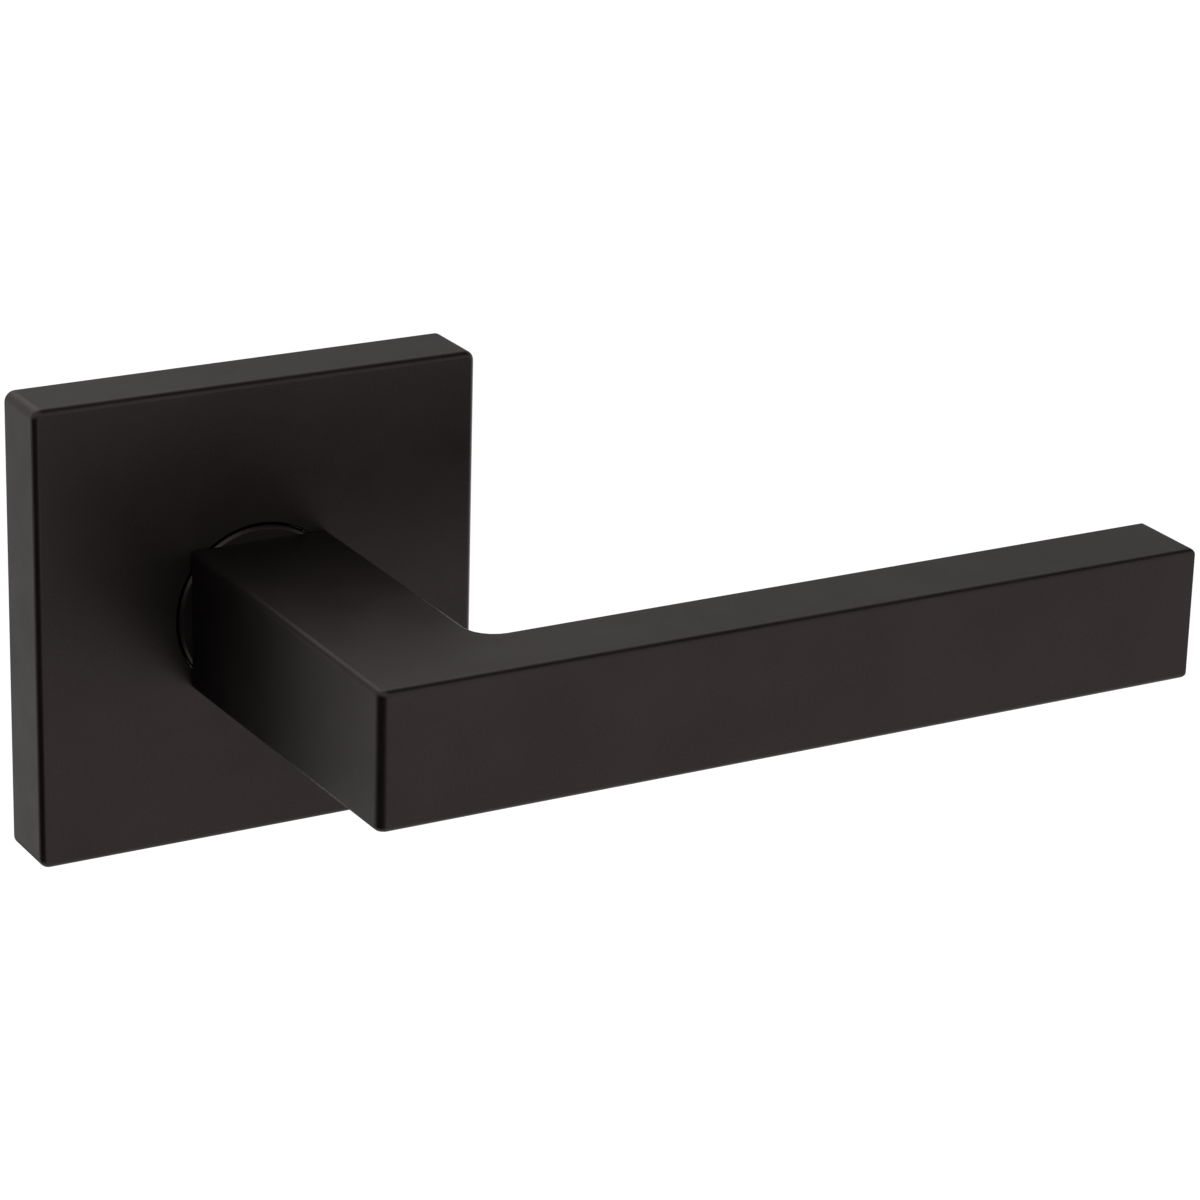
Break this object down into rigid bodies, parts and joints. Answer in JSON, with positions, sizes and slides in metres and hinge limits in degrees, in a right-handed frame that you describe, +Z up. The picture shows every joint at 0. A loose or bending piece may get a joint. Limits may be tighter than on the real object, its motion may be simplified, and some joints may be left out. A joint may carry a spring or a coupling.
{
  "type": "door lever handle",
  "caption": "Square-section L-shaped door lever on a square rosette, sprung to level, with its spindle, spring cage and concealed fixings.",
  "frame": {"origin": "where the spindle axis meets the door face", "axes": "+X along the grip from the spindle axis to the tip, +Y along the spindle into the door, +Z up"},
  "size_m": [0.1493, 0.1272, 0.066],
  "materials": {
    "bronze_finish": "satin dark bronze over a zinc casting",
    "black_oxide": "black oxide",
    "zinc_casting": "bare zinc casting, slightly rough",
    "zinc_plated_steel": "bright zinc plate",
    "spring_steel": "oiled spring steel",
    "nylon": "natural nylon"
  },
  "bodies": {
    "rosette": {"rosette_cover": "bronze_finish", "cover_grub_screw": "black_oxide", "mounting_plate": "zinc_plated_steel", "front_bush": "nylon", "rear_bush": "nylon", "spring_cage": "zinc_plated_steel", "return_spring": "spring_steel", "cage_screw_1": "zinc_plated_steel", "cage_screw_2": "zinc_plated_steel", "cage_screw_3": "zinc_plated_steel", "cage_screw_4": "zinc_plated_steel", "through_bolt_1": "zinc_plated_steel", "through_bolt_2": "zinc_plated_steel", "bolt_washer_1": "zinc_plated_steel", "bolt_washer_2": "zinc_plated_steel"},
    "lever": {"lever": "bronze_finish", "lever_set_screw": "black_oxide", "lever_collar": "bronze_finish", "drive_hub": "zinc_casting", "front_retaining_ring": "spring_steel", "rear_retaining_ring": "spring_steel", "wave_washer": "spring_steel", "stop_cam": "zinc_plated_steel", "stop_pin": "zinc_plated_steel", "spindle": "zinc_plated_steel"}
  },
  "joints": [
    {"name": "lever_turn", "type": "hinge", "parent": "rosette", "child": "lever", "pos_m": [0, 0, 0], "axis": [0, 1, 0], "range_deg": [0, 45], "stiffness_Nm_per_rad": 0.61, "springref_deg": -34.38, "deforming": ["return_spring"]}
  ]
}
